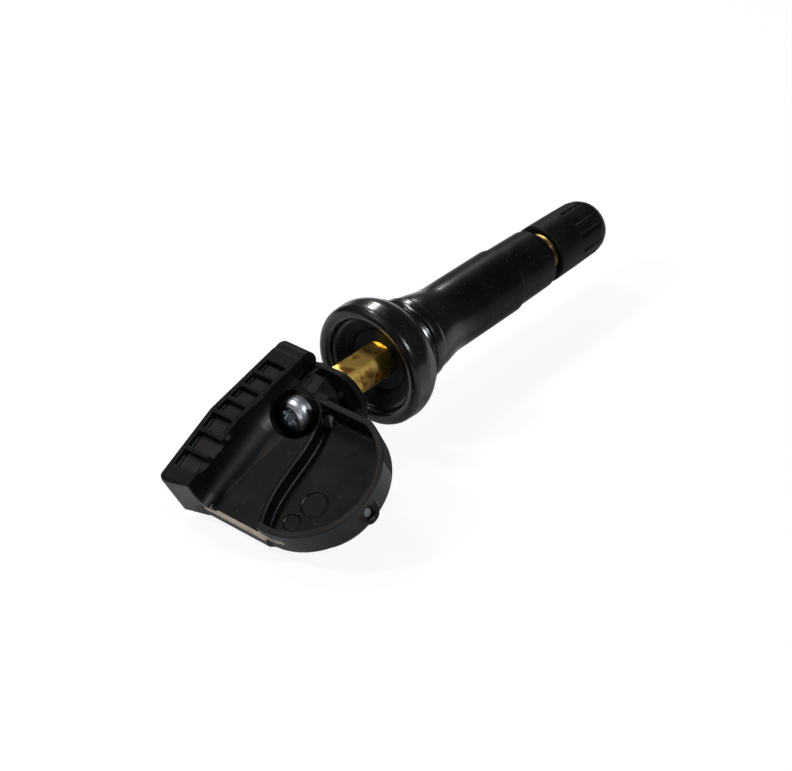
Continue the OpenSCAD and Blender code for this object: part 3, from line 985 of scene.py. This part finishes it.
    def lip(self, point: Vector) -> bool:
        """Whether a point lies on the soft edge between the deck and the driver's channel.

        Args:
            point: the point in millimetres.

        Returns:
            True on the edge.
        """
        at = self.deck.local(point * MM)
        reach = math.hypot(point.y, point.z)
        beside = abs(reach - self.channel_r) < self.channel_lip or reach < self.channel_r
        short = point.x < self.boss_x and at.y < self.strip_in - self.lip_in
        return beside and short and abs(at.z - self.deck_h + self.lip_middle) < self.lip_half

    def rounded(self, source: bpy.types.Mesh) -> bpy.types.Mesh:
        """Rounds every edge a little, by rebuilding the mesh from cells square to the deck.

        Args:
            source: the mesh to copy.

        Returns:
            The rounded copy.
        """
        mesh = source.copy()
        square = Matrix.Rotation(self.deck.slope, 4, "Y")
        mesh.transform(square)
        cells = self.applied(mesh, [("REMESH", {"mode": "VOXEL", "voxel_size": self.cell * MM})])
        cells.transform(square.inverted())
        soft: List[int] = []
        for corner in cells.vertices:
            moved = self.scoop(self.cove(corner.co / MM))
            corner.co = moved * MM
            if self.lip(moved):
                soft.append(corner.index)
        steps = [
            ("SMOOTH", {"factor": self.ease, "iterations": self.ease_steps}),
            ("SMOOTH", {"factor": self.ease, "iterations": self.lip_steps, "vertex_group": "lip"}),
            ("DECIMATE", {"ratio": self.kept}),
        ]
        return self.applied(cells, steps, soft)

    def applied(
        self,
        mesh: bpy.types.Mesh,
        steps: Sequence[Tuple[str, Dict[str, object]]],
        soft: Sequence[int] = (),
    ) -> bpy.types.Mesh:
        """Runs modifiers on a mesh.

        Args:
            mesh: the mesh to start from.
            steps: each modifier's type and settings, in order.
            soft: the corners of the group that a step can name.

        Returns:
            The mesh that comes out.
        """
        held = new_object("housing_moulding", mesh)
        held.vertex_groups.new(name="lip").add(list(soft), 1.0, "REPLACE")
        for kind, settings in steps:
            step = held.modifiers.new(kind, kind)
            for key, value in settings.items():
                setattr(step, key, value)
        seen = held.evaluated_get(bpy.context.evaluated_depsgraph_get())
        made = bpy.data.meshes.new_from_object(seen)
        bpy.data.objects.remove(held)
        return made

    def make(self, node: bpy.types.Object, paint: Paint) -> bpy.types.Object:
        """Builds the piece.

        Args:
            node: the CAD node it stands for.
            paint: where the materials come from.

        Returns:
            The piece.
        """
        mesh = self.rounded(node.data)
        mesh.materials.clear()
        for finish in (GLOSS, SATIN, DULL, DECK, MARK, EDGE_HIGHLIGHT, GUSSET_HIGHLIGHT):
            mesh.materials.append(paint.get(finish))
        for face in mesh.polygons:
            face.material_index = self.skin(face.center, face.normal).value
        mesh.shade_smooth()
        return new_object("housing_moulding", mesh)


@dataclass(frozen=True)
class Thread:
    """A vee thread cut round the stem's axis, as one wound surface.

    Attributes:
        name: the piece's name.
        start: where along the stem the thread begins.
        end: where it ends.
        root: its smallest radius.
        crest: its largest radius.
        pitch: how far it climbs in a turn.
        runout: how far from each end it is cut to full depth.
        steepness: how much steeper than a plain vee its flanks are, which makes flat crests.
        root_cut: the part of that rise that is cut off, which makes flat roots.
        around: how many points go round it.
        per_turn: how many rows of points there are in a turn.
    """

    name: str
    start: float
    end: float
    root: float
    crest: float
    pitch: float = 0.794
    runout: float = 0.5
    steepness: float = 1.35
    root_cut: float = 0.15
    around: int = 72
    per_turn: int = 8

    def radius(self, x: float, turn: float) -> float:
        """The thread's radius at one point.

        Args:
            x: the place along the stem.
            turn: the place round it, in turns.

        Returns:
            The radius in millimetres.
        """
        phase = ((x - self.start) / self.pitch - turn) % 1.0
        rise = 1 - abs(2 * phase - 1)
        fade = min(1.0, (x - self.start) / self.runout, (self.end - x) / self.runout)
        shape = min(1.0, max(0.0, rise * self.steepness - self.root_cut))
        return self.root + (self.crest - self.root) * shape * max(0.0, fade)

    def make(self) -> bpy.types.Object:
        """Builds the piece.

        Returns:
            The piece.
        """
        rows = int((self.end - self.start) / self.pitch * self.per_turn) + 1
        points: List[Vector] = []
        for row in range(rows):
            x = self.start + (self.end - self.start) * row / (rows - 1)
            for step in range(self.around):
                turn = step / self.around
                radius, angle = self.radius(x, turn), turn * math.tau
                points.append(Vector((x, radius * math.cos(angle), radius * math.sin(angle))))
        faces: List[Tuple[int, int, int, int]] = []
        for row in range(rows - 1):
            for step in range(self.around):
                here = row * self.around + step
                beside = row * self.around + (step + 1) % self.around
                faces.append((here, beside, beside + self.around, here + self.around))
        return new_object(self.name, mesh_of(self.name, points, faces))


@dataclass(frozen=True)
class StemLook:
    """Copies the stem with its end turned down, so that a cut thread can stand over it.

    Attributes:
        start: where along the stem the thread begins.
        end: where it ends.
        root: the thread's smallest radius, to which the stem is turned down.
        crest: its largest radius.
        lead: how far before the thread the stem is turned down.
        sunk: how far the thread's own root lies under the turned stem.
    """

    start: float = 35.7
    end: float = 42.0
    root: float = 3.42
    crest: float = 3.84
    lead: float = 0.2
    sunk: float = 0.02

    def make(self, node: bpy.types.Object) -> bpy.types.Object:
        """Builds the copy.

        Args:
            node: the CAD node it stands for.

        Returns:
            The copy.
        """
        mesh = node.data.copy()
        for corner in mesh.vertices:
            out = math.hypot(corner.co.y, corner.co.z) / MM
            if out > self.root and corner.co.x / MM > self.start - self.lead:
                corner.co.y *= self.root / out
                corner.co.z *= self.root / out
        return new_object("stem_turned", mesh)

    def thread(self) -> bpy.types.Object:
        """Builds the thread.

        Returns:
            The thread.
        """
        root = self.root - self.sunk
        return Thread("stem_thread", self.start, self.end, root, self.crest).make()


@dataclass(frozen=True)
class SpringLook:
    """Copies the core's spring.

    Attributes:
        travel: how far the pin goes in, in millimetres. It is not used.
    """

    travel: float = 1.2

    def make(self, node: bpy.types.Object) -> bpy.types.Object:
        """Builds the copy.

        Args:
            node: the CAD node it stands for.

        Returns:
            The copy.
        """
        return new_object("spring_coil", node.data.copy())

    def close(self, piece: bpy.types.Object) -> None:
        """Gives the copy a mesh of its own; the coils stay as they are.

        Args:
            piece: the copy.
        """
        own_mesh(piece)


# Stage


@dataclass(frozen=True)
class Shot:
    """The photograph's camera, found by fitting the stem's rings and the housing's edges.

    Attributes:
        target: the point that it looks at, in millimetres.
        azimuth: its direction from the target, in degrees from -Y toward +X.
        elevation: its height over the target, in degrees.
        distance: how far it stands from the target.
        lens: its focal length.
        sensor: the width of its sensor.
        nearest: how near it still sees.
    """

    target: Point = (-5.55, -4.83, -1.77)
    azimuth: float = -50.46
    elevation: float = 33.79
    distance: float = 300.0
    lens: float = 90.27
    sensor: float = 36.0
    nearest: float = 10.0

    def make(self) -> None:
        """Adds the camera and makes it the scene's."""
        turn, rise = math.radians(self.azimuth), math.radians(self.elevation)
        reach = math.cos(rise)
        away = Vector((math.sin(turn) * reach, -math.cos(turn) * reach, math.sin(rise)))
        data = bpy.data.cameras.new("camera")
        data.lens = self.lens
        data.sensor_width = self.sensor
        data.clip_start = self.nearest * MM
        camera = new_object("camera", data)
        camera.location = (Vector(self.target) + away * self.distance) * MM
        camera.rotation_euler = (-away).to_track_quat("-Z", "Y").to_euler()
        bpy.context.scene.camera = camera


@dataclass(frozen=True)
class Lamp:
    """One soft area light that faces the object.

    Attributes:
        name: the light's name.
        place: where it stands, in millimetres.
        size: its width and height.
        power: its power in watts.
        tint: its colour.
    """

    name: str
    place: Point
    size: Span
    power: float
    tint: Colour = (1.0, 1.0, 1.0)

    def make(self) -> None:
        """Adds the light."""
        data = bpy.data.lights.new(self.name, "AREA")
        data.shape = "RECTANGLE"
        data.size, data.size_y = (s * MM for s in self.size)
        data.energy = self.power
        data.color = self.tint
        lamp = new_object(self.name, data)
        lamp.location = Vector(self.place) * MM
        lamp.rotation_euler = (-lamp.location).to_track_quat("-Z", "Y").to_euler()


LAMPS = (
    Lamp("key", (-255, 147, 290), (26, 44), 0.9),
    Lamp("top", (-30, 200, 380), (100, 50), 0.65),
    Lamp("back", (276, 251, 252), (50, 90), 0.5, (1.0, 0.97, 0.92)),
    Lamp("cove", (5, -320, 270), (40, 80), 0.95, (0.9, 0.95, 1.0)),
)


@dataclass(frozen=True)
class Studio:
    """The pale floor and surroundings, the lights and the camera.

    Attributes:
        low: the object's lowest point in metres, where the floor lies.
        half: half the floor's width in millimetres.
        paper: the two tones of the floor.
        paper_cloud: the size of the clouds that the tones make.
        paper_rough: the floor's roughness.
        glow: how brightly the camera sees the floor.
        glow_share: how much of what the camera sees of the floor is that glow.
        sky_tint: the colour of the light from all round.
        sky_strength: its strength.
    """

    low: float
    half: float = 1500.0
    paper: Tuple[Colour, Colour] = ((0.66, 0.66, 0.66), (0.69, 0.69, 0.69))
    paper_cloud: float = 40.0
    paper_rough: float = 0.9
    glow: float = 1.06
    glow_share: float = 0.85
    sky_tint: Colour = (0.8, 0.83, 0.88)
    sky_strength: float = 0.06

    def floor(self) -> None:
        """Adds the floor, which the camera sees as white apart from its shadow."""
        half = self.half
        ring = ((-half, -half), (half, -half), (half, half), (-half, half))
        corners = [Vector((x, y, self.low / MM)) for x, y in ring]
        piece = new_object("floor", mesh_of("floor", corners, [(0, 1, 2, 3)]))
        graph = Graph(bpy.data.materials.new("floor_paper"))
        colour = graph.mix(graph.noise(self.paper_cloud, detail=2.0), *self.paper)
        plain = {"Base Color": colour, "Roughness": self.paper_rough}
        paper = graph.node("ShaderNodeBsdfPrincipled", plain, "BSDF")
        glow = graph.node("ShaderNodeEmission", {"Strength": self.glow})
        seen = graph.node("ShaderNodeLightPath", {}, "Is Camera Ray") * self.glow_share
        graph.end(graph.node("ShaderNodeMixShader", {0: seen, 1: paper, 2: glow}))
        piece.data.materials.append(graph.owner)
        piece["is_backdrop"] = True

    def sky(self) -> None:
        """Makes the surroundings pale to the camera, and a soft grey light to the surfaces."""
        world = bpy.data.worlds.new("surroundings")
        bpy.context.scene.world = world
        graph = Graph(world)
        seen = graph.node("ShaderNodeLightPath", {}, "Is Camera Ray")
        soft = {"Color": self.sky_tint, "Strength": self.sky_strength}
        grey = graph.node("ShaderNodeBackground", soft)
        pale = graph.node("ShaderNodeBackground", {})
        graph.end(graph.node("ShaderNodeMixShader", {0: seen, 1: grey, 2: pale}))

    def make(self) -> None:
        """Adds everything round the object."""
        self.floor()
        self.sky()
        for lamp in LAMPS:
            lamp.make()
        Shot().make()
        bpy.context.scene.view_settings.view_transform = "Standard"


class Sensor:
    """The whole object: CAD nodes with their finishes, and the pieces over or in place of them."""

    def __init__(self, frame: Dict) -> None:
        """Takes the loaded frame.
        """
        self.nodes: Dict[str, bpy.types.Object] = frame["nodes"]
        self.slots = {s["node"]: s["material_slot"] for s in frame["record"]["subparts"]}
        self.paint = Paint()

    def carried(self) -> None:
        """Gives each CAD node its finish."""
        for name, node in self.nodes.items():
            node.data.materials.clear()
            node.data.materials.append(self.paint.get(SLOTS[self.slots[name]]))

    def add(self, piece: bpy.types.Object, slot: str) -> bpy.types.Object:
        """Lets a piece ride on the sensor's own body with a slot's finish.

        Args:
            piece: the piece.
            slot: the record's material slot.

        Returns:
            The piece.
        """
        if not piece.data.materials:
            piece.data.materials.append(self.paint.get(SLOTS[slot]))
        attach(piece, SENSOR_BODY)
        return piece

    def make(self) -> List[bpy.types.Object]:
        """Builds everything.

        Returns:
            The pieces that were added.
        """
        self.carried()
        housing = self.add(HousingLook().make(self.nodes["housing"], self.paint), "housing")
        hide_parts("housing")
        look = StemLook()
        stem = self.add(look.make(self.nodes["valve_stem"]), "brass")
        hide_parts("valve_stem")
        thread = look.thread()
        thread.data.materials.append(self.paint.get(THREAD_BRASS))
        self.add(thread, "brass")
        spring = SpringLook()
        coil = self.add(spring.make(self.nodes["core_spring"]), "spring_steel")
        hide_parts("core_spring")
        spring.close(coil)
        return [housing, stem, thread, coil]


def main() -> None:
    """Loads the frame, dresses it and sets the view."""
    logging.basicConfig(level=logging.INFO, format="%(name)s: %(message)s")
    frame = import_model()
    solid_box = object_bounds()
    sensor = Sensor(frame)
    for piece in sensor.make():
        LOG.info("added %s: %d faces", piece.name, len(piece.data.polygons))
    for name, slot in sensor.slots.items():
        LOG.info("%s has the finish %s", name, SLOTS[slot].name)
    Studio(solid_box[0][2]).make()


if __name__ == "__main__":
    main()
